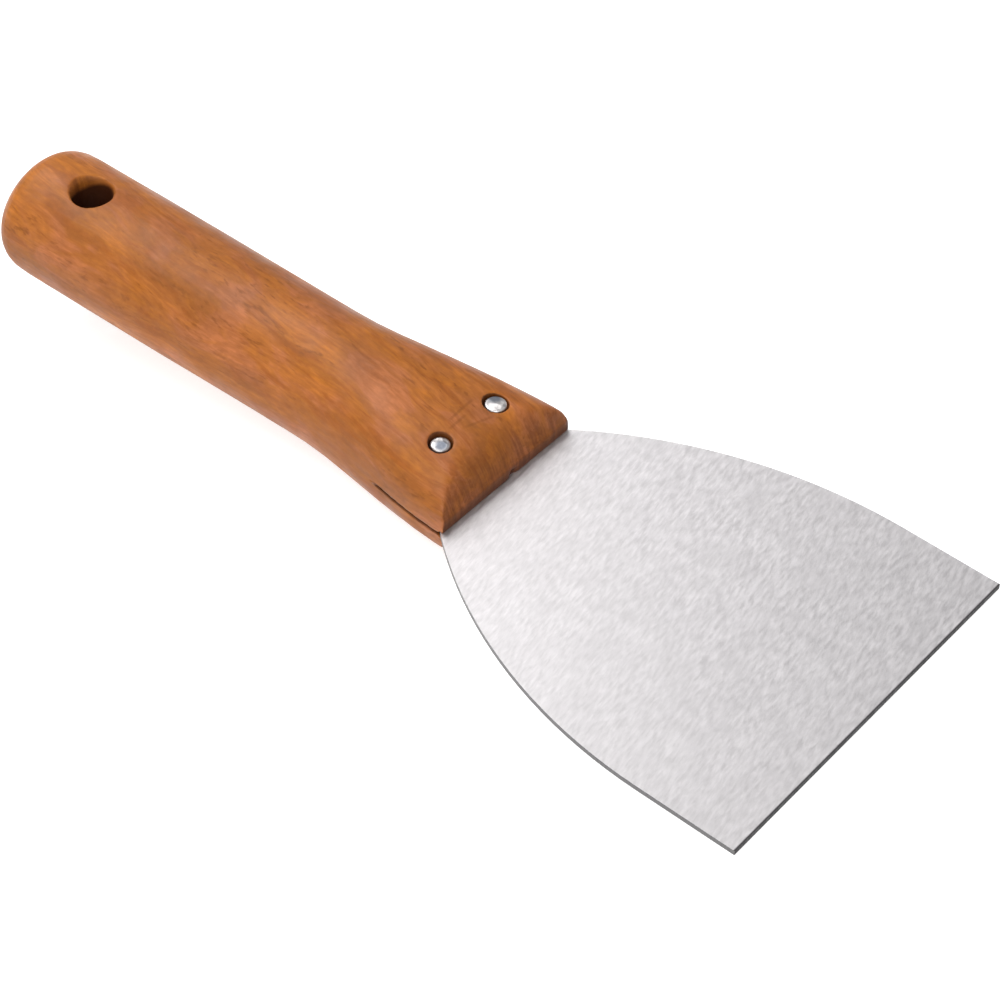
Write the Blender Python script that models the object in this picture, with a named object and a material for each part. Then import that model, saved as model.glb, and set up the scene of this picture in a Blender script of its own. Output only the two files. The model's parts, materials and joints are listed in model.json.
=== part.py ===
"""Drywall taping knife: a turned hardwood handle, one stamped steel blade and two rivets.

Everything is modelled in the knife's own axes: the origin is where the blade leaves the handle, +X points
to the working edge, +Y across the blade, and z = 0 is the middle of the blade's thickness. The empty
"knife" then lays these axes down the way the tool lies on a table: on its working edge and on the
underside of the handle, with the world origin under the middle of its bounding box. Metres, +Z up.
"""

import math

import bmesh
import bpy
import numpy as np
from mathutils import Vector

# --- driving dimensions -------------------------------------------------------------------------
GAP = 0.0003  # clearance kept between pieces that touch

BLADE_WIDTH = 0.080
BLADE_REACH = 0.083  # from the handle's front to the working edge
BLADE_THICKNESS = 0.0011
BLADE_ROOT_WIDTH = 0.0376  # where the blade leaves the handle
BLADE_ROOT_SHIFT = 0.0005  # the flanks are not quite alike: the root lies this far towards +Y
FLANK_LENGTH = 0.062  # the rounded flank's run along X, before the sides run straight
TANG_WIDTH = 0.0315
TANG_LENGTH = 0.0165

GRIP_LENGTH = 0.1221
GRIP_FRONT_X = -0.0004  # the wood stops just short of where the flanks start
BUTT_HALF_WIDTH = 0.0139
WAIST_HALF_WIDTH = 0.0134
FRONT_HALF_WIDTH = 0.0182
GRIP_HALF_HEIGHT = 0.0129
FRONT_HALF_HEIGHT = 0.0090
WAIST_X = -0.040  # forward of here the grip spreads
FLATTEN_X = -0.034  # forward of here it also flattens
SQUARE_X = -0.046  # forward of here its section turns from an ellipse to a rounded block
ROUND_POWER = 2.0
FRONT_POWER = 3.0
BUTT_SHOULDER_X = -0.095  # forward of here the grip narrows to its waist
BUTT_DOME_DEPTH = 0.0088
BUTT_DOME_POWER = 3.0
NOSE_LENGTH = 0.010  # the front end's rounding, seen from the side
NOSE_POWER = 2.3
NOSE_LIP = 0.0030  # half height of the square end left around the kerf
GRIP_YAW = math.radians(1.4)  # the grip is hand fitted: a little off the blade's centreline
GRIP_PITCH = math.radians(0.5)
GRIP_OFFSET = (GRIP_FRONT_X, 0.0007, 0.0005)

HANG_HOLE_RADIUS = 0.0041
HANG_HOLE_X = -0.1042
HANG_HOLE_Y = -0.0009
HANG_HOLE_SOFTENING = 0.0009  # how far sanding has opened the hole's rims
HANG_HOLE_RIM_DEPTH = 0.0020

KERF_DEPTH = 0.0184
RIVET_X = -0.0098
RIVET_Y = 0.0004
RIVET_SPREAD = 0.0148  # between the two rivets' axes
RIVET_SKEW = 0.0004  # each rivet sits this much ahead of or behind RIVET_X
SHANK_RADIUS = 0.0016
HEAD_RADII = {"rivet_left": 0.00215, "rivet_right": 0.00195}
HEAD_THICKNESS = 0.0012
HEAD_CROWN = 0.0004
SEAT_HEIGHT = 0.0076  # counterbore floors, above and below the grip's middle
COUNTERBORE_MARGIN = 0.0004  # the counterbores are this much wider than the heads

SECTION_SIDES = 56
STATION_COUNT = 22  # sections along the grip
DOME_STEPS = 9
NOSE_STEPS = 15
FLANK_STEPS = 22
RIM_STEPS = 4  # rounding of a hole's rim and of a rivet's crown
HOLE_SIDES = 36
RIVET_SIDES = 28
CLEAR = 0.004  # how far cutters run past what they cut
FRONT_SPARE = 0.002  # the blank runs this far past its front, which is then cut square to the blade

WOOD = (0.52, 0.20, 0.07, 1.0)
STEEL = (0.80, 0.79, 0.80, 1.0)
RIVET_METAL = (0.72, 0.73, 0.76, 1.0)


def material(name, colour, roughness, metallic):
    made = bpy.data.materials.new(name)
    made.use_nodes = True
    shader = made.node_tree.nodes["Principled BSDF"]
    shader.inputs["Base Color"].default_value = colour
    shader.inputs["Roughness"].default_value = roughness
    shader.inputs["Metallic"].default_value = metallic
    return made


def add_object(name, shape, made_of=None):
    """Turns a bmesh into a named object."""
    bmesh.ops.recalc_face_normals(shape, faces=shape.faces)
    mesh = bpy.data.meshes.new(name)
    shape.to_mesh(mesh)
    shape.free()
    piece = bpy.data.objects.new(name, mesh)
    bpy.context.scene.collection.objects.link(piece)
    if made_of:
        mesh.materials.append(made_of)
    return piece


def shade_round(piece, crease=math.radians(35)):
    piece.data.shade_smooth()
    piece.data.set_sharp_from_angle(angle=crease)


def cut(piece, cutter, parent=None):
    """Takes a cutter out of a piece, and hides the cutter."""
    cutter.hide_render = True
    cutter.display_type = "WIRE"
    if parent:
        cutter.parent = parent
    step = piece.modifiers.new(cutter.name, "BOOLEAN")
    step.operation = "DIFFERENCE"
    step.solver = "EXACT"
    step.object = cutter


def turned(name, profile, sides, made_of=None):
    """A closed solid of revolution about Z, from (radius, height) points that run from axis to axis."""
    shape = bmesh.new()
    rings = []
    for radius, height in profile:
        if radius == 0:
            rings.append([shape.verts.new((0, 0, height))])
            continue
        ring = [2 * math.pi * k / sides for k in range(sides)]
        rings.append([shape.verts.new((radius * math.cos(a), radius * math.sin(a), height)) for a in ring])
    for low, high in zip(rings, rings[1:]):
        for k in range(sides):
            n = (k + 1) % sides
            corners = [low[k % len(low)], low[n % len(low)], high[n % len(high)], high[k % len(high)]]
            shape.faces.new(list(dict.fromkeys(corners)))
    return add_object(name, shape, made_of)


def prism_y(name, outline, half_width):
    """A closed prism along Y over an outline of (x, z) points."""
    shape = bmesh.new()
    face = shape.faces.new([shape.verts.new((x, -half_width, z)) for x, z in outline])
    extruded = bmesh.ops.extrude_face_region(shape, geom=[face])["geom"]
    far_side = [g for g in extruded if isinstance(g, bmesh.types.BMVert)]
    bmesh.ops.translate(shape, vec=(0, 2 * half_width, 0), verts=far_side)
    return add_object(name, shape)


# --- handle -------------------------------------------------------------------------------------
def smooth(t):
    t = min(max(t, 0.0), 1.0)
    return t * t * (3 - 2 * t)


def grip_half_width(x):
    """The grip's half width at x: full at the butt, drawn in at the waist, spread over the blade."""
    if x <= WAIST_X:
        blend = smooth((x - BUTT_SHOULDER_X) / (WAIST_X - BUTT_SHOULDER_X))
        return BUTT_HALF_WIDTH + (WAIST_HALF_WIDTH - BUTT_HALF_WIDTH) * blend
    return WAIST_HALF_WIDTH + (FRONT_HALF_WIDTH - WAIST_HALF_WIDTH) * smooth(1 - x / WAIST_X)


def grip_half_height(x):
    """The grip's half height at x: it flattens as it spreads."""
    return GRIP_HALF_HEIGHT + (FRONT_HALF_HEIGHT - GRIP_HALF_HEIGHT) * smooth(1 - x / FLATTEN_X)


def section_point(x, angle, scale):
    """A point on the grip's section at x."""
    power = ROUND_POWER + (FRONT_POWER - ROUND_POWER) * smooth(1 - x / SQUARE_X)
    across, up = math.cos(angle), math.sin(angle)
    wide = grip_half_width(x) * scale * math.copysign(abs(across) ** (2 / power), across)
    high = grip_half_height(x) * scale * math.copysign(abs(up) ** (2 / power), up)
    return (x, wide, high)


def nose_height(x):
    """Half height of the sanded front end at x, where x runs back from the front."""
    run = 1 + x / NOSE_LENGTH
    return max(grip_half_height(-NOSE_LENGTH) * (1 - run**NOSE_POWER) ** (1 / NOSE_POWER), NOSE_LIP)


def grip_blank():
    """The turned and flared grip before any cut, in its own axes."""
    stations = []
    for k in range(1, DOME_STEPS + 1):
        angle = math.pi / 2 * k / DOME_STEPS
        inset = BUTT_DOME_DEPTH * (1 - math.cos(angle) ** (2 / BUTT_DOME_POWER))
        stations.append((-GRIP_LENGTH + inset, math.sin(angle) ** (2 / BUTT_DOME_POWER)))
    straight_from = -GRIP_LENGTH + BUTT_DOME_DEPTH
    step = (FRONT_SPARE - straight_from) / STATION_COUNT
    stations += [(straight_from + k * step, 1.0) for k in range(1, STATION_COUNT + 1)]
    angles = [2 * math.pi * (k + 0.5) / SECTION_SIDES for k in range(SECTION_SIDES)]
    shape = bmesh.new()
    rings = [[shape.verts.new(section_point(x, a, scale)) for a in angles] for x, scale in stations]
    pole = shape.verts.new((-GRIP_LENGTH, 0, 0))
    for k in range(SECTION_SIDES):
        shape.faces.new((rings[0][k], rings[0][(k + 1) % SECTION_SIDES], pole))
    for back, front in zip(rings, rings[1:]):
        for k in range(SECTION_SIDES):
            n = (k + 1) % SECTION_SIDES
            shape.faces.new((back[k], back[n], front[n], front[k]))
    shape.faces.new(rings[-1])
    return shape


def nose_cutter(name, side):
    """What the saw and sander take off the front end, above (side 1) or below (side -1) the blade."""
    curve = []
    for k in range(NOSE_STEPS + 1):
        x = -NOSE_LENGTH * (1 - math.sin(math.pi / 2 * k / NOSE_STEPS))
        curve.append((x, side * nose_height(x)))
    middle = -side * GAP
    top = side * (GRIP_HALF_HEIGHT + CLEAR)
    outline = curve + [(0, middle), (CLEAR, middle), (CLEAR, top), (-NOSE_LENGTH, top)]
    cutter = prism_y(name, outline, FRONT_HALF_WIDTH + CLEAR)
    cutter.location = (GRIP_FRONT_X, 0, GRIP_OFFSET[2])
    return cutter


def hang_hole_cutter():
    """The hanging hole, opened a little at both rims."""
    rim_start = GRIP_HALF_HEIGHT - HANG_HOLE_RIM_DEPTH
    end = GRIP_HALF_HEIGHT + CLEAR
    opened = []
    for k in range(RIM_STEPS + 1):
        part = k / RIM_STEPS
        radius = HANG_HOLE_RADIUS + HANG_HOLE_SOFTENING * part**2
        opened.append((radius, rim_start + HANG_HOLE_RIM_DEPTH * part))
    opened.append((opened[-1][0], end))
    lower = [(r, -z) for r, z in reversed(opened)]
    hole = turned("hang_hole_cutter", [(0, -end)] + lower + opened + [(0, end)], HOLE_SIDES)
    hole.location = (HANG_HOLE_X, HANG_HOLE_Y, 0)
    return hole


def rivet_centres():
    middle = Vector((RIVET_X, RIVET_Y, GRIP_OFFSET[2]))
    to_left = Vector((RIVET_SKEW, RIVET_SPREAD / 2, 0))
    return {"rivet_left": middle + to_left, "rivet_right": middle - to_left}


def make_handle(knife, wood):
    grip_axes = bpy.data.objects.new("grip_axes", None)
    bpy.context.scene.collection.objects.link(grip_axes)
    grip_axes.parent = knife
    grip_axes.rotation_euler = (0, GRIP_PITCH, GRIP_YAW)
    grip_axes.location = GRIP_OFFSET
    handle = add_object("handle", grip_blank(), wood)
    handle.parent = grip_axes
    cut(handle, hang_hole_cutter(), grip_axes)

    # the nose, the saw kerf and the rivet holes are square to the blade
    for side, where in ((1, "top"), (-1, "bottom")):
        cut(handle, nose_cutter(f"nose_{where}_cutter", side), knife)
    low = BLADE_THICKNESS / 2 + GAP
    kerf = prism_y("kerf_cutter", [(-KERF_DEPTH, -low), (CLEAR, -low), (CLEAR, low), (-KERF_DEPTH, low)],
                   FRONT_HALF_WIDTH + CLEAR)
    cut(handle, kerf, knife)
    for name, centre in rivet_centres().items():
        bore, mouth = SHANK_RADIUS + GAP, GRIP_HALF_HEIGHT + CLEAR
        seat = HEAD_RADII[name] + COUNTERBORE_MARGIN
        profile = [(0, -mouth), (seat, -mouth), (seat, -SEAT_HEIGHT), (bore, -SEAT_HEIGHT)]
        profile += [(bore, SEAT_HEIGHT), (seat, SEAT_HEIGHT), (seat, mouth), (0, mouth)]
        hole = turned(f"{name}_hole_cutter", profile, RIVET_SIDES)
        hole.location = centre
        cut(handle, hole, knife)
    shade_round(handle)
    return handle


# --- blade --------------------------------------------------------------------------------------
def blade_side(side):
    """One side's outline (side 1 is +Y), from the tang's end forward: tang, round flank, straight side."""
    half = BLADE_WIDTH / 2
    root = BLADE_ROOT_WIDTH / 2 + side * BLADE_ROOT_SHIFT
    tang = TANG_WIDTH / 2 + side * BLADE_ROOT_SHIFT
    rise = half - root
    radius = (FLANK_LENGTH**2 + rise**2) / (2 * rise)
    start = math.acos((radius - half + tang) / radius)
    outline = [(-TANG_LENGTH, side * tang)]
    for k in range(FLANK_STEPS + 1):
        lean = start * (1 - k / FLANK_STEPS)
        across = half - radius + radius * math.cos(lean)
        outline.append((FLANK_LENGTH - radius * math.sin(lean), side * across))
    outline.append((BLADE_REACH, side * half))
    return outline


def make_blade(knife, steel):
    outline = blade_side(1) + blade_side(-1)[::-1]
    shape = bmesh.new()
    face = shape.faces.new([shape.verts.new((x, y, -BLADE_THICKNESS / 2)) for x, y in outline])
    moved = bmesh.ops.extrude_face_region(shape, geom=[face])["geom"]
    top = [g for g in moved if isinstance(g, bmesh.types.BMVert)]
    bmesh.ops.translate(shape, vec=(0, 0, BLADE_THICKNESS), verts=top)
    blade = add_object("blade", shape, steel)
    blade.parent = knife
    for name, centre in rivet_centres().items():
        half, radius = BLADE_THICKNESS / 2 + CLEAR, SHANK_RADIUS + GAP
        profile = [(0, -half), (radius, -half), (radius, half), (0, half)]
        hole = turned(f"{name}_tang_cutter", profile, RIVET_SIDES)
        hole.location = centre
        cut(blade, hole, knife)
    return blade


# --- rivets -------------------------------------------------------------------------------------
def rivet_profile(head_radius):
    seat = SEAT_HEIGHT + GAP
    rim = seat + HEAD_THICKNESS - HEAD_CROWN
    head = [(SHANK_RADIUS, seat), (head_radius, seat), (head_radius, rim)]
    for k in range(1, RIM_STEPS):
        angle = math.pi / 2 * k / RIM_STEPS
        head.append((head_radius * math.cos(angle), rim + HEAD_CROWN * math.sin(angle)))
    head.append((0, rim + HEAD_CROWN))
    return [(r, -z) for r, z in reversed(head)] + head


def make_rivets(knife, metal):
    """Solid rivets: a shank with a low crowned head seated in each counterbore."""
    for name, centre in rivet_centres().items():
        rivet = turned(name, rivet_profile(HEAD_RADII[name]), RIVET_SIDES, metal)
        rivet.parent = knife
        rivet.location = centre
        shade_round(rivet)


# --- laying the knife down ----------------------------------------------------------------------
def world_points(names):
    bpy.context.view_layer.update()
    graph = bpy.context.evaluated_depsgraph_get()
    points = []
    for name in names:
        piece = bpy.data.objects[name].evaluated_get(graph)
        points += [piece.matrix_world @ v.co for v in piece.data.vertices]
    return np.array(points)


def lay_down(knife):
    """Tips the knife until working edge and handle both touch z = 0, and centres it over the origin."""
    edge_x, edge_z = BLADE_REACH, -BLADE_THICKNESS / 2
    behind = world_points(["handle", "rivet_left", "rivet_right"])
    knife.rotation_euler.y = float(np.arctan2(edge_z - behind[:, 2], edge_x - behind[:, 0]).max())
    whole = world_points(["handle", "blade", "rivet_left", "rivet_right"])
    low, high = whole.min(0), whole.max(0)
    middle = (low + high) / 2
    knife.location = (-middle[0], -middle[1], -low[2])


def main():
    for old in list(bpy.data.objects):
        bpy.data.objects.remove(old, do_unlink=True)
    knife = bpy.data.objects.new("knife", None)
    bpy.context.scene.collection.objects.link(knife)
    make_handle(knife, material("varnished_hardwood", WOOD, 0.42, 0.0))
    make_blade(knife, material("brushed_steel", STEEL, 0.38, 1.0))
    make_rivets(knife, material("bright_rivet_metal", RIVET_METAL, 0.25, 1.0))
    lay_down(knife)


main()
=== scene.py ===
"""Looks for the drywall taping knife: worn satin hardwood, brushed steel and hammered rivets.

The CAD bodies give every shape and place. Each piece here is a finer copy of its CAD node. Shapes and
patterns are worked out in the knife's own axes: the origin is where the blade leaves the handle, +X points
to the working edge, +Y across the blade, and z = 0 is the middle of the blade's thickness. Lengths are in
metres.
"""

import json
import math

import bpy
import numpy as np
from mathutils import Matrix, Vector, noise


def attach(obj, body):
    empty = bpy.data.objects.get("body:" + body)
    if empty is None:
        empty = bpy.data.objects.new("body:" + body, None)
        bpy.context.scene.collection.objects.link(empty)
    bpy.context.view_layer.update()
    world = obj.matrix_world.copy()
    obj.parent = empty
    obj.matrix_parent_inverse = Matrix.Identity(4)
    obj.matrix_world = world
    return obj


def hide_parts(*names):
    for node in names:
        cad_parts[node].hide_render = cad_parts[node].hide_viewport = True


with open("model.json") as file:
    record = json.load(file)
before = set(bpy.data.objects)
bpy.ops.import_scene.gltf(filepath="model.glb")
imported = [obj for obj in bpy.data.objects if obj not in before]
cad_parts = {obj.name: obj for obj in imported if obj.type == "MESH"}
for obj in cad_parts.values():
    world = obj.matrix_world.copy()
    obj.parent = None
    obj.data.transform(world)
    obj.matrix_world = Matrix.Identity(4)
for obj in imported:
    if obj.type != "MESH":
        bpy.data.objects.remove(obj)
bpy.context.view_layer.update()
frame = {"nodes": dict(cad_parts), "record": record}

MM = 0.001

# --- the knife's own axes, from the flat mount on the blade's upper face ---------------------------
BLADE_THICKNESS = 1.1 * MM
BLADE_REACH = 83 * MM
MOUNT_REACH = 45 * MM  # from the handle's front to the mount on the blade

# --- refined meshes -------------------------------------------------------------------------------
HANDLE_VOXEL = 0.26 * MM
HANDLE_SMOOTHING = 5  # passes
KERF_KEPT_CRISP = (1.2 * MM, 2.7 * MM)  # smoothing sets in between these heights off the blade's middle
RIVET_VOXEL = 0.09 * MM
RIVET_SMOOTHING = 5
BLADE_BEVEL = 0.10 * MM
FLAT_FACE_NORMAL = 0.8  # a face whose normal has more z than this is brushed, and any other is rim
WOOD_UNEVENNESS = 0.05 * MM
UNEVEN_SCALE = 90.0

KERF_DEPTH = 18.4 * MM
KERF_SQUEEZE = 0.22 * MM  # how far each wall of the kerf is drawn in towards the blade
KERF_CLOSING = 0.46 * MM  # and how much further where no steel lies between the walls
KERF_REACH = 2.5 * MM  # the squeeze dies away this far from the blade
KERF_RUN_OUT = 2 * MM  # and this far behind the kerf's end
TANG_HALF_WIDTH = 15.75 * MM
TANG_LENGTH = 16.5 * MM
BESIDE_STEEL = (0.15 * MM, 0.50 * MM)  # the kerf closes between these distances from the steel's sides
BEHIND_STEEL = (0.30 * MM, 1.00 * MM)  # and between these behind the tang's end
STEEL_SHIFT = 0.5 * MM  # tang and root lie this far towards +Y
FLARE_START_X = -3.8 * MM  # forward of here the steel widens from the tang to the blade's root
FLARE_GAIN = 3.05 * MM

RIVET_PLACES = (Vector((-9.4, 7.8, 0)) * MM, Vector((-10.2, -7.0, 0)) * MM)
SEAT_RADII = (2.55 * MM, 2.35 * MM)  # the counterbores round the rivet heads
NOSE_SOFTENING = 110  # passes over the crease where the sanded nose runs out into the grip
CREASE_HEIGHT = (5.0 * MM, 8.0 * MM)  # they set in between these heights off the blade's middle,
CREASE_X = (-15.0 * MM, -12.0 * MM)  # between these distances behind the handle's front
RIVET_CLEARANCE = (3.2 * MM, 4.2 * MM)  # and between these distances from a rivet
CHIP_PLACE = Vector((-0.6, 2.6, 1.3)) * MM
CHIP_RADIUS = 0.9 * MM
CHIP_DEPTH = 0.8 * MM

HEAD_FROM = 0.80  # a rivet's heads begin at this part of its half height
HEAD_FULL_FROM = 0.88
HEAD_LIFT = 0.22 * MM  # hammered heads stand this much prouder than their plain discs
HEAD_DOME = 0.28 * MM  # and this much rounder
HAMMER_BLOWS = 7
HAMMER_LEAN = 0.22  # radians
HAMMER_CUT = 0.16 * MM
HAMMER_SPREAD = 0.3  # how unevenly the blows are spaced round a head
WEAKEST_BLOW = 0.3  # against the strongest, in lean and in cut

# --- patterns on the surfaces ---------------------------------------------------------------------
IN_PLANE = (1, 1, 0)  # weighs distances so that height doesn't count
GRAIN_TURN = math.radians(6)  # the grain runs a little askew to the handle
GRAIN_WANDER = (4 * MM, 5 * MM, 5 * MM)
VARNISH_SPECULAR = 0.19
BRUSHING_TURN = math.radians(-9)  # the steel's brushing runs a little askew to the working edge
SCRATCHES = (  # sanding marks between the rivets: middle, lean from the Y axis, length
    (Vector((-12.5, 1.6, 0)) * MM, math.radians(3), 9 * MM),
    (Vector((-11.0, -1.2, 0)) * MM, math.radians(2), 6 * MM),
    (Vector((-8.3, 1.8, 0)) * MM, math.radians(-17), 8 * MM),
)
SCRATCH_WIDTH = 0.45 * MM
SCRATCHED_FROM = (5 * MM, 7 * MM)  # only the upper side is scratched, from between these heights
KERF_GRIME_AND_SHADE_HEIGHT = (5.0 * MM, 0.5 * MM)  # grime and painted contact shadow on the end grain grow between these heights
KERF_SHADE_HEIGHT = (0.66 * MM, 0.30 * MM)  # and painted shade darkens the kerf's walls between these
KERF_SHADE_RUN_OUT = 0.5 * MM
BORE_AXIS = Vector((-104.45, -2.75, 0)) * MM  # the hanging hole
BORE_RADIUS = 4.35 * MM
BORE_RIM_RADIUS = 4.9 * MM
BORE_LIT_TO = 13.6 * MM  # painted shade darkens the bore's walls between these heights off the blade's plane
BORE_DARK_FROM = 12.4 * MM
BORE_LIT_SIDE = Vector((-108.8, -2.75, 0)) * MM  # on the butt's side the wall stays bright deeper: painted light
BORE_LIT_REACH = (7.5 * MM, 0.5 * MM)
BORE_LIT_DEPTH = 1.5 * MM
SEAT_RING = 0.15 * MM  # painted shade reaches this far past a counterbore's wall
BLADE_SHADING = (-10 * MM, 92 * MM)  # painted reflection: the steel's tone falls off slowly along the blade
DARK_STRIP = (0.45 * MM, 0.15 * MM)  # the upper face darkens this near the working edge

# --- colours (linear) -----------------------------------------------------------------------------
WOOD_ORANGE = (0.332, 0.106, 0.014)
WOOD_TAN = (0.308, 0.100, 0.020)
WOOD_PINK = (0.326, 0.108, 0.036)
WOOD_BAND = (0.235, 0.062, 0.007, 1)
WOOD_FIBRE = (0.235, 0.068, 0.012, 1)
WOOD_FLECK = (0.150, 0.044, 0.006, 1)
# the end grain's own darker colour, with painted shade on the nose
END_GRAIN_AND_SHADE = (0.105, 0.026, 0.005, 1)
# one dark colour for grime and for painted shade
GRIME_AND_SHADE = (0.030, 0.007, 0.003, 1)
STEEL_DULL = (0.585, 0.566, 0.574)
STEEL_BRIGHT = (0.745, 0.723, 0.732)
STEEL_CLOUD = (0.59, 0.571, 0.58, 1)
STEEL_RUBBED = (0.78, 0.76, 0.77, 1)
STEEL_DARK_STRIP = (0.045, 0.042, 0.045, 1)
RIM_DARK = (0.12, 0.118, 0.118)
RIM_LIGHT = (0.19, 0.185, 0.185)
RIM_WORKING_EDGE = (0.012, 0.011, 0.012, 1)
RIVET_DARK = (0.44, 0.42, 0.42)
RIVET_LIGHT = (0.72, 0.69, 0.68)
# colour of the painted dark reflection on a rivet head
RIVET_DARK_REFLECTION = (0.12, 0.14, 0.18, 1)

RIVETS = (  # node, its metal's name, middle and radius of its painted dark reflection, seed of its hammer blows
    ("rivet_left", "rivet_metal_left", Vector((-10.55, 8.70, 0)) * MM, 2.1 * MM, 3),
    ("rivet_right", "rivet_metal_right", Vector((-9.70, -7.30, 0)) * MM, 1.7 * MM, 8),
)

# --- camera: where it stands, seen from the knife's own axes --------------------------------------
CAMERA_AZIMUTH = math.radians(-51.75)
CAMERA_ELEVATION = math.radians(46.09)
CAMERA_ROLL = math.radians(2.39)
CAMERA_DISTANCE = 0.5539
CAMERA_TARGET = Vector((1.42, -3.41, 0)) * MM
CAMERA_LENS = 108.0
SENSOR_WIDTH = 36.0

# --- light ----------------------------------------------------------------------------------------
WORLD_STRENGTH = 0.58
FLOOR_GLOW = 1.1
SKY_LOW = (0.80, 0.80, 0.81, 1)
SKY_HIGH = (1.0, 1.0, 1.0, 1)
KEY_PLACE = (-0.50, 0.0, 0.92)
KEY_SIZE = 0.8
KEY_POWER = 9.5
FILL_PLACE = (0.5, -0.7, 0.8)
FILL_SIZE = 1.0
FILL_POWER = 7.5
FLOOR_SIZE = 6.0


def knife_axes():
    """The knife's own axes in the row frame."""
    mount = next(m for m in frame["record"]["mounts"] if m["name"] == "blade_top_face")
    up = Vector(mount["axis"]).normalized()
    across = Vector((0, 1, 0))
    forward = across.cross(up)
    origin = Vector(mount["pos_m"]) - forward * MOUNT_REACH - up * BLADE_THICKNESS / 2
    axes = Matrix((forward, across, up)).transposed().to_4x4()
    axes.translation = origin
    return axes


KNIFE = knife_axes()


# --- node helpers ---------------------------------------------------------------------------------
class Graph:
    """A material's node tree, with short ways to add and link nodes."""

    def __init__(self, name):
        self.material = bpy.data.materials.new(name)
        self.material.use_nodes = True
        self.nodes = self.material.node_tree.nodes
        self.links = self.material.node_tree.links
        self.shader = self.nodes["Principled BSDF"]
        into_knife = KNIFE.inverted()
        there = self.node("ShaderNodeTexCoord").outputs
        turn = tuple(into_knife.to_euler())
        self.place = self.mapped(there["Object"], Rotation=turn, Location=into_knife.translation)
        facing = self.node("ShaderNodeMapping", Vector=there["Normal"], Rotation=turn)
        facing.vector_type = "VECTOR"
        self.facing = facing.outputs["Vector"]

    def node(self, kind, **inputs):
        """Adds a node and feeds its inputs by name, with _ for a space."""
        made = self.nodes.new(kind)
        for name, value in inputs.items():
            self.feed(made.inputs[name.replace("_", " ")], value)
        return made

    def feed(self, socket, value):
        if isinstance(value, bpy.types.NodeSocket):
            self.links.new(value, socket)
        else:
            socket.default_value = value

    def mapped(self, vector, **inputs):
        return self.node("ShaderNodeMapping", Vector=vector, **inputs).outputs["Vector"]

    def stretched(self, scale):
        """Knife coordinates scaled per axis, for patterns that run along one axis."""
        return self.mapped(self.place, Scale=scale)

    def part(self, vector, axis):
        return self.node("ShaderNodeSeparateXYZ", Vector=vector).outputs[axis]

    def distance(self, centre, scale=(1, 1, 1)):
        """How far a point lies from a centre, with each axis weighed by scale."""
        offset = self.mapped(self.place, Location=[-c * w for c, w in zip(centre, scale)], Scale=scale)
        made = self.nodes.new("ShaderNodeVectorMath")
        made.operation = "LENGTH"
        self.links.new(offset, made.inputs[0])
        return made.outputs["Value"]

    def stroke(self, middle, lean, length, width):
        """A thin mark across the knife, by its middle, lean from the Y axis, length and half width."""
        turn = Matrix.Rotation(-lean, 3, "Z")
        local = self.mapped(self.place, Rotation=(0, 0, -lean), Location=-(turn @ middle))
        off = self.maths("ABSOLUTE", self.part(local, "X"))
        along = self.maths("ABSOLUTE", self.part(local, "Y"))
        narrow = self.fade(off, width, 0.2 * width)
        short = self.fade(along, length / 2, length / 4)
        return self.maths("MULTIPLY", narrow, short)

    def noise(self, vector, scale, detail=3.0, roughness=0.5, distortion=0.0):
        made = self.node("ShaderNodeTexNoise", Vector=vector, Scale=scale, Detail=detail,
                         Roughness=roughness, Distortion=distortion)
        return made.outputs["Fac"]

    def fade(self, value, start, end, low=0.0, high=1.0):
        """Runs smoothly from low at start to high at end."""
        made = self.nodes.new("ShaderNodeMapRange")
        made.interpolation_type = "SMOOTHSTEP"
        for socket, given in zip(made.inputs, (value, start, end, low, high)):
            self.feed(socket, given)
        return made.outputs["Result"]

    def ramp(self, value, stops, smooth=False):
        """stops are (position, colour or grey)."""
        made = self.node("ShaderNodeValToRGB", Fac=value)
        band = made.color_ramp
        band.interpolation = "EASE" if smooth else "LINEAR"
        while len(band.elements) < len(stops):
            band.elements.new(0.5)
        for element, (position, colour) in zip(band.elements, stops):
            is_grey = isinstance(colour, (int, float))
            element.position = position
            element.color = (colour, colour, colour, 1) if is_grey else (*colour, 1)
        return made.outputs["Color"]

    def blend(self, factor, first, second, mode="MIX"):
        made = self.nodes.new("ShaderNodeMix")
        made.data_type = "RGBA"
        made.blend_type = mode
        colours = [s for s in made.inputs if s.type == "RGBA"]
        self.feed(made.inputs[0], factor)
        self.feed(colours[0], first)
        self.feed(colours[1], second)
        return next(s for s in made.outputs if s.type == "RGBA")

    def maths(self, operation, first, second=0.0):
        made = self.nodes.new("ShaderNodeMath")
        made.operation = operation
        self.feed(made.inputs[0], first)
        self.feed(made.inputs[1], second)
        return made.outputs["Value"]

    def bump(self, height, strength, distance, below=None):
        made = self.node("ShaderNodeBump", Height=height, Strength=strength, Distance=distance)
        if below is not None:
            self.links.new(below, made.inputs["Normal"])
        return made.outputs["Normal"]

    def finish(self, **inputs):
        for name, value in inputs.items():
            self.feed(self.shader.inputs[name.replace("_", " ")], value)
        return self.material


# --- materials ------------------------------------------------------------------------------------
def drifting_grain(g):
    """A function that gives coordinates in the wandering grain, scaled along and across it."""
    turned = g.mapped(g.place, Rotation=(0, 0, GRAIN_TURN))
    slow = g.mapped(turned, Scale=(40, 90, 90))
    wander = g.node("ShaderNodeTexNoise", Vector=slow, Scale=1.0, Detail=2.0)
    drift = g.node("ShaderNodeVectorMath")
    drift.operation = "MULTIPLY_ADD"
    g.links.new(wander.outputs["Color"], drift.inputs[0])
    drift.inputs[1].default_value = GRAIN_WANDER
    g.links.new(turned, drift.inputs[2])
    grain = drift.outputs["Vector"]
    return lambda scale_x, scale_yz: g.mapped(grain, Scale=(scale_x, scale_yz, scale_yz))


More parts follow.
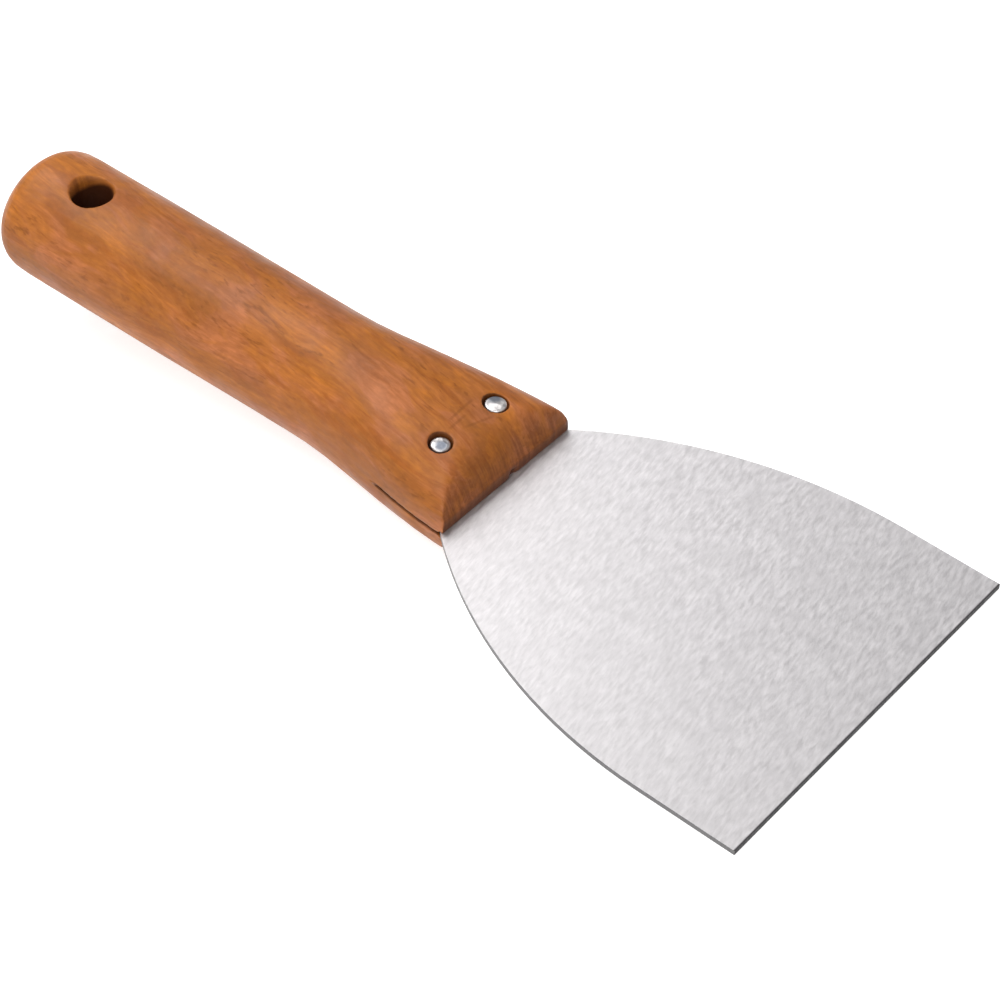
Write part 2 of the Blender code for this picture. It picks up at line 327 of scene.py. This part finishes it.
def wood_figure(g):
    """The wood's colour, and the fibres and flecks that also stand out as relief."""
    along = drifting_grain(g)
    hue = g.noise(along(75, 170), 1.0, 3.0, 0.55, 0.5)
    body = g.ramp(hue, [(0.36, WOOD_ORANGE), (0.50, WOOD_TAN), (0.62, WOOD_PINK)], smooth=True)
    light = g.noise(along(38, 130), 1.0, 3.0, 0.5, 0.4)
    body = g.blend(1.0, body, g.ramp(light, [(0.34, 0.80), (0.66, 1.20)]), mode="MULTIPLY")
    bands = g.noise(along(46, 360), 1.0, 3.0, 0.55, 0.7)
    body = g.blend(g.fade(bands, 0.52, 0.68, 0.0, 0.60), body, WOOD_BAND)
    figure = g.noise(along(380, 950), 1.0, 3.0, 0.6)
    body = g.blend(1.0, body, g.ramp(figure, [(0.34, 0.86), (0.66, 1.12)]), mode="MULTIPLY")
    fibres = g.noise(along(130, 1700), 1.0, 3.0, 0.6)
    body = g.blend(g.fade(fibres, 0.36, 0.64, 0.42, 0.0), body, WOOD_FIBRE)
    chains = g.fade(g.noise(along(26, 240), 1.0, 2.0), 0.44, 0.62)
    flecks = g.fade(g.noise(along(360, 1350), 1.0, 2.0), 0.52, 0.72, 0.0, 0.55)
    fleck_mask = g.maths("MULTIPLY", chains, flecks)
    body = g.blend(fleck_mask, body, WOOD_FLECK)
    top = g.fade(g.part(g.place, "Z"), *SCRATCHED_FROM, 0.0, 0.38)
    for middle, lean, length in SCRATCHES:
        mark = g.maths("MULTIPLY", g.stroke(middle, lean, length, SCRATCH_WIDTH), top)
        body = g.blend(mark, body, WOOD_FLECK)
    return body, fibres, fleck_mask


def end_grain_and_shade_amount(g, end_facing):
    """End grain drinks the varnish and goes darker, and painted shade darkens the faces turned to +X as
    well; sanding leaves streaks down it.
    """
    streaks = g.noise(g.stretched((70, 1100, 70)), 1.0, 3.0, 0.6)
    amount = g.fade(end_facing, 0.25, 1.0, 0.0, 0.66)
    return g.maths("MULTIPLY", amount, g.fade(streaks, 0.32, 0.68, 0.20, 1.0))


def shade_and_grime_amount(g, end_facing):
    """Grime and painted contact shadow against the blade, painted shade in the kerf, the hanging hole and
    the rivets' seats, and a darker chip.
    """
    height = g.maths("ABSOLUTE", g.part(g.place, "Z"))
    # grime and painted contact shadow on the end grain against the blade
    on_end = g.fade(end_facing, 0.4, 0.9, 0.0, 0.70)
    kerf_grime_and_shade = g.maths("MULTIPLY", g.fade(height, *KERF_GRIME_AND_SHADE_HEIGHT), on_end)
    # painted shade in the kerf's narrow gap against the steel
    kerf_shade = g.fade(g.part(g.place, "X"), -KERF_DEPTH - KERF_SHADE_RUN_OUT, -KERF_DEPTH, 0.0, 0.66)
    kerf_shade = g.maths("MULTIPLY", kerf_shade, g.fade(height, *KERF_SHADE_HEIGHT))
    # painted shade down the hanging hole's walls, painted lit deeper on the butt's side
    in_bore = g.fade(g.distance(BORE_AXIS, IN_PLANE), BORE_RIM_RADIUS, BORE_RADIUS)
    lit_deeper = g.fade(g.distance(BORE_LIT_SIDE, IN_PLANE), *BORE_LIT_REACH, 0.0, BORE_LIT_DEPTH)
    depth = g.fade(g.maths("ADD", height, lit_deeper), BORE_LIT_TO, BORE_DARK_FROM, 0.0, 0.91)
    inside = g.maths("MULTIPLY", in_bore, depth)
    # painted shade in the rivets' counterbores
    for place, radius in zip(RIVET_PLACES, SEAT_RADII):
        seat = g.fade(g.distance(place, IN_PLANE), radius + SEAT_RING, radius, 0.0, 0.55)
        inside = g.maths("MAXIMUM", inside, seat)
    chipped = g.fade(g.distance(CHIP_PLACE), 1.5 * CHIP_RADIUS, 0.7 * CHIP_RADIUS, 0.0, 0.8)
    return g.maths("MAXIMUM", g.maths("MAXIMUM", kerf_grime_and_shade, inside), g.maths("MAXIMUM", kerf_shade, chipped))


def hardwood():
    """Orange-brown hardwood under thin satin varnish, with its grain along the handle."""
    g = Graph("varnished_hardwood")
    body, fibres, fleck_mask = wood_figure(g)
    end_facing = g.part(g.facing, "X")
    # the end grain darkens, partly as painted shade on the faces turned to +X
    body = g.blend(end_grain_and_shade_amount(g, end_facing), body, END_GRAIN_AND_SHADE)
    # grime and painted shade against the blade, painted shade in the kerf, the hanging hole and the
    # rivets' seats
    body = g.blend(shade_and_grime_amount(g, end_facing), body, GRIME_AND_SHADE)
    sheen = g.fade(g.noise(g.stretched((150, 150, 150)), 1.0, 2.0), 0.3, 0.7, 0.38, 0.52)
    relief = g.bump(fleck_mask, 0.10, 0.10 * MM)
    relief = g.bump(fibres, 0.16, 0.08 * MM, relief)
    relief = g.bump(g.noise(g.stretched((260, 260, 260)), 1.0, 2.0), 0.20, 0.30 * MM, relief)
    return g.finish(Base_Color=body, Roughness=sheen, Normal=relief, Specular_IOR_Level=VARNISH_SPECULAR)


def steel_face():
    """Fine brushing across the blade, with uneven shine and a few longer scratches."""
    g = Graph("brushed_steel_face")
    slanted = g.mapped(g.place, Rotation=(0, 0, BRUSHING_TURN))
    brushing = g.noise(g.mapped(slanted, Scale=(1500, 400, 1500)), 1.0, 3.0, 0.6, 0.2)
    rubbed = g.noise(g.mapped(slanted, Scale=(1100, 190, 1100)), 1.0, 2.0, 0.5)
    cloud = g.noise(g.stretched((150, 190, 150)), 1.0, 4.0, 0.6)
    tone = g.ramp(brushing, [(0.32, STEEL_DULL), (0.68, STEEL_BRIGHT)])
    tone = g.blend(g.fade(cloud, 0.35, 0.70, 0.0, 0.30), tone, STEEL_CLOUD)
    tone = g.blend(g.fade(rubbed, 0.58, 0.72, 0.0, 0.30), tone, STEEL_RUBBED)
    reach = g.part(g.place, "X")
    # painted reflection: darker towards the working edge
    tone = g.blend(1.0, tone, g.fade(reach, *BLADE_SHADING, 1.00, 0.83), mode="MULTIPLY")
    strip_from, strip_full = (BLADE_REACH - inset for inset in DARK_STRIP)
    tone = g.blend(g.fade(reach, strip_from, strip_full, 0.0, 0.95), tone, STEEL_DARK_STRIP)
    shine = g.fade(brushing, 0.3, 0.7, 0.48, 0.60)
    relief = g.bump(brushing, 0.08, 0.04 * MM)
    relief = g.bump(rubbed, 0.05, 0.04 * MM, relief)
    return g.finish(Base_Color=tone, Metallic=1.0, Roughness=shine, Normal=relief)


def steel_edge():
    """The sheared rim of the sheet: darker steel with fine shear marks, darkest on the working edge."""
    g = Graph("sheared_steel_edge")
    marks = g.noise(g.stretched((1900, 1900, 160)), 1.0, 2.0)
    tone = g.ramp(marks, [(0.3, RIM_DARK), (0.7, RIM_LIGHT)])
    tone = g.blend(g.fade(g.part(g.facing, "X"), 0.5, 0.95, 0.0, 0.93), tone, RIM_WORKING_EDGE)
    shine = g.fade(marks, 0.3, 0.7, 0.38, 0.55)
    relief = g.bump(marks, 0.3, 0.03 * MM)
    return g.finish(Base_Color=tone, Metallic=1.0, Roughness=shine, Normal=relief)


def rivet_metal(name, dark_reflection_place, dark_reflection_radius):
    """Bright hammered rivet metal with fine scratches and one painted dark blue-grey reflection."""
    g = Graph(name)
    bloom = g.noise(g.stretched((900, 900, 900)), 1.0, 3.0)
    scratches = g.noise(g.stretched((900, 5200, 900)), 1.0, 2.0)
    tone = g.ramp(bloom, [(0.38, RIVET_DARK), (0.62, RIVET_LIGHT)])
    # a painted dark reflection on the hammered head
    dark_reflection = g.fade(g.distance(dark_reflection_place, IN_PLANE), dark_reflection_radius, 0.35 * dark_reflection_radius, 0.0, 0.85)
    tone = g.blend(dark_reflection, tone, RIVET_DARK_REFLECTION)
    shine = g.fade(scratches, 0.3, 0.7, 0.34, 0.46)
    relief = g.bump(scratches, 0.12, 0.03 * MM)
    return g.finish(Base_Color=tone, Metallic=1.0, Roughness=shine, Normal=relief)


# --- pieces ---------------------------------------------------------------------------------------
def applied(piece):
    """Replaces a piece's mesh by what its modifiers make of it."""
    graph = bpy.context.evaluated_depsgraph_get()
    made = bpy.data.meshes.new_from_object(piece.evaluated_get(graph))
    piece.modifiers.clear()
    piece.data = made
    return piece


def knife_copy(node):
    """A CAD node's mesh as a new piece, in the knife's own axes until it is finished."""
    mesh = frame["nodes"][node].data.copy()
    mesh.transform(KNIFE.inverted())
    mesh.materials.clear()
    piece = bpy.data.objects.new(f"{node}_look", mesh)
    bpy.context.scene.collection.objects.link(piece)
    return piece


def remeshed(node, voxel):
    """A finely remeshed copy of a CAD node."""
    piece = knife_copy(node)
    remesh = piece.modifiers.new("remesh", "REMESH")
    remesh.mode = "VOXEL"
    remesh.voxel_size = voxel
    return applied(piece)


def soften(piece, passes, amount=None):
    """Smooths a piece as sanding does, everywhere or by an amount given for each point."""
    step = piece.modifiers.new("soften", "SMOOTH")
    step.factor = 0.5
    step.iterations = passes
    if amount is not None:
        group = piece.vertex_groups.new(name="amount")
        for index in np.flatnonzero(amount > 0.01):
            group.add([int(index)], float(amount[index]), "REPLACE")
        step.vertex_group = group.name
    applied(piece)
    piece.vertex_groups.clear()
    piece.data.shade_smooth()


def get_points(piece):
    points = np.empty(len(piece.data.vertices) * 3)
    piece.data.vertices.foreach_get("co", points)
    return points.reshape(-1, 3)


def set_points(piece, points):
    piece.data.vertices.foreach_set("co", points.ravel())
    piece.data.update()


def rise_between(values, start, end):
    """0 up to start, 1 from end on, and smoothly between them."""
    t = np.clip((values - start) / (end - start), 0, 1)
    return t * t * (3 - 2 * t)


def finish_piece(piece, node, slot, *materials):
    """Lays a piece down into the row frame with its materials, hangs it on the root body and hides the CAD
    node it stands for.
    """
    piece.data.transform(KNIFE)
    for material in materials:
        piece.data.materials.append(material)
    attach(piece, "root")
    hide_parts(node)
    return piece


def nose_crease(points):
    """Where the sanded nose runs out into the grip, but not around the rivets."""
    amount = rise_between(np.abs(points[:, 2]), *CREASE_HEIGHT)
    amount *= rise_between(points[:, 0], *CREASE_X)
    for place in RIVET_PLACES:
        away = np.hypot(points[:, 0] - place.x, points[:, 1] - place.y)
        amount *= rise_between(away, *RIVET_CLEARANCE)
    return amount


def close_kerf(points):
    """Draws the kerf's walls in towards the steel, and nearly shut beside and behind it."""
    along, across, height = points[:, 0], np.abs(points[:, 1]), np.abs(points[:, 2])
    steel_half = TANG_HALF_WIDTH + np.sign(points[:, 1]) * STEEL_SHIFT
    steel_half = steel_half + FLARE_GAIN * np.clip(1 - along / FLARE_START_X, 0, 1)
    beside = rise_between(across - steel_half, *BESIDE_STEEL)
    bare = np.maximum(beside, rise_between(-along - TANG_LENGTH, *BEHIND_STEEL))
    near_kerf = 1 - rise_between(height - BLADE_THICKNESS / 2, 0, KERF_REACH)
    over_kerf = rise_between(along, -KERF_DEPTH - KERF_RUN_OUT, -KERF_DEPTH)
    points[:, 2] -= np.sign(points[:, 2]) * (KERF_SQUEEZE + KERF_CLOSING * bare) * near_kerf * over_kerf


def make_handle():
    """The grip: uneven from hand sanding, its kerf closed on the tang, and chipped at the front edge."""
    piece = remeshed("handle", HANDLE_VOXEL)
    heights = np.abs(get_points(piece)[:, 2])
    soften(piece, HANDLE_SMOOTHING, rise_between(heights, *KERF_KEPT_CRISP))
    soften(piece, NOSE_SOFTENING, nose_crease(get_points(piece)))
    points = get_points(piece)

    normals = np.empty_like(points)
    piece.data.vertex_normals.foreach_get("vector", normals.ravel())
    swell = np.array([noise.noise(Vector(p) * UNEVEN_SCALE) for p in points])
    points += normals * swell[:, None] * WOOD_UNEVENNESS
    close_kerf(points)

    away = np.linalg.norm((points - np.array(CHIP_PLACE)) / CHIP_RADIUS, axis=1)
    points[:, 0] -= CHIP_DEPTH * np.exp(-(away**2))
    set_points(piece, points)
    return finish_piece(piece, "handle", "varnished_hardwood", hardwood())


def make_blade():
    """The blade: a flat sheet whose sheared rim has its own darker finish."""
    piece = knife_copy("blade")
    bevel = piece.modifiers.new("bevel", "BEVEL")
    bevel.width = BLADE_BEVEL
    bevel.segments = 2
    bevel.limit_method = "ANGLE"
    applied(piece)
    face_slot, rim_slot = 0, 1
    for face in piece.data.polygons:
        face.material_index = face_slot if abs(face.normal.z) > FLAT_FACE_NORMAL else rim_slot
    return finish_piece(piece, "blade", "brushed_steel", steel_face(), steel_edge())


def make_rivet(node, metal, seed):
    """A rivet whose two heads are flattened here and there by hammer blows."""
    piece = remeshed(node, RIVET_VOXEL)
    soften(piece, RIVET_SMOOTHING)
    points = get_points(piece)
    centre = (points.min(0) + points.max(0)) / 2
    top = points[:, 2].max() - centre[2]
    away = np.hypot(points[:, 0] - centre[0], points[:, 1] - centre[1])
    above = (points[:, 2] - centre[2]) / top
    proud = HEAD_LIFT + HEAD_DOME * np.clip(1 - (away / away.max())**2, 0, 1)
    points[:, 2] += np.sign(above) * proud * rise_between(np.abs(above), HEAD_FROM, HEAD_FULL_FROM)

    chance = np.random.default_rng(seed)
    for side in (1, -1):
        for blow in range(HAMMER_BLOWS):
            turn = 2 * math.pi * (blow + chance.uniform(-HAMMER_SPREAD, HAMMER_SPREAD)) / HAMMER_BLOWS
            lean = HAMMER_LEAN * chance.uniform(WEAKEST_BLOW, 1.0)
            facing = np.array([math.sin(lean) * math.cos(turn), math.sin(lean) * math.sin(turn),
                               side * math.cos(lean)])
            reach = (points - centre) @ facing
            limit = reach.max() - HAMMER_CUT * chance.uniform(WEAKEST_BLOW, 1.0)
            on_head = (points[:, 2] - centre[2]) * side > top * HEAD_FROM
            over = np.where(on_head, np.maximum(reach - limit, 0), 0)
            points -= over[:, None] * facing
    set_points(piece, points)
    return finish_piece(piece, node, "bright_rivet_metal", metal)


# --- stage ----------------------------------------------------------------------------------------
def make_floor():
    """A wide pale floor, bright enough to run into the white behind it."""
    bpy.ops.mesh.primitive_grid_add(x_subdivisions=8, y_subdivisions=8, size=FLOOR_SIZE)
    floor = bpy.context.object
    floor.name = "floor"
    g = Graph("pale_floor")
    tone = g.fade(g.noise(g.stretched((9, 9, 9)), 1.0, 3.0), 0.3, 0.7, 0.60, 0.63)
    floor.data.materials.append(g.finish(Base_Color=tone, Roughness=0.9, Emission_Color=tone,
                                         Emission_Strength=FLOOR_GLOW))


def make_world():
    """Soft light from all round, a little stronger from above."""
    world = bpy.data.worlds.new("studio")
    bpy.context.scene.world = world
    world.use_nodes = True
    nodes, links = world.node_tree.nodes, world.node_tree.links
    background = nodes["Background"]
    place = nodes.new("ShaderNodeTexCoord")
    parts = nodes.new("ShaderNodeSeparateXYZ")
    ramp = nodes.new("ShaderNodeValToRGB")
    links.new(place.outputs["Generated"], parts.inputs["Vector"])
    links.new(parts.outputs["Z"], ramp.inputs["Fac"])
    links.new(ramp.outputs["Color"], background.inputs["Color"])
    low, high = ramp.color_ramp.elements
    low.position, low.color = 0.0, SKY_LOW
    high.position, high.color = 0.8, SKY_HIGH
    background.inputs["Strength"].default_value = WORLD_STRENGTH


def add_area(name, place, size, power):
    """A square soft light that faces the object."""
    lamp = bpy.data.lights.new(name, "AREA")
    lamp.size = size
    lamp.energy = power
    made = bpy.data.objects.new(name, lamp)
    bpy.context.scene.collection.objects.link(made)
    made.location = place
    made.rotation_euler = (-Vector(place)).to_track_quat("-Z", "Y").to_euler()


def make_camera():
    """The camera, placed in the knife's own axes and turned into the row frame."""
    back = Vector((math.cos(CAMERA_ELEVATION) * math.cos(CAMERA_AZIMUTH),
                   math.cos(CAMERA_ELEVATION) * math.sin(CAMERA_AZIMUTH), math.sin(CAMERA_ELEVATION)))
    right = Vector((0, 0, 1)).cross(back).normalized()
    up = back.cross(right)
    rolled_right = right * math.cos(CAMERA_ROLL) + up * math.sin(CAMERA_ROLL)
    rolled_up = up * math.cos(CAMERA_ROLL) - right * math.sin(CAMERA_ROLL)
    place = Matrix((rolled_right, rolled_up, back)).transposed().to_4x4()
    place.translation = CAMERA_TARGET + back * CAMERA_DISTANCE
    lens = bpy.data.cameras.new("camera")
    lens.lens = CAMERA_LENS
    lens.sensor_width = SENSOR_WIDTH
    lens.clip_start = 0.01
    camera = bpy.data.objects.new("camera", lens)
    bpy.context.scene.collection.objects.link(camera)
    camera.matrix_world = KNIFE @ place
    bpy.context.scene.camera = camera


make_handle()
make_blade()
for node, metal, dark_reflection_place, dark_reflection_radius, seed in RIVETS:
    make_rivet(node, rivet_metal(metal, dark_reflection_place, dark_reflection_radius), seed)
make_floor()
make_world()
add_area("key", KEY_PLACE, KEY_SIZE, KEY_POWER)
add_area("fill", FILL_PLACE, FILL_SIZE, FILL_POWER)
make_camera()
bpy.context.scene.view_settings.view_transform = "Standard"
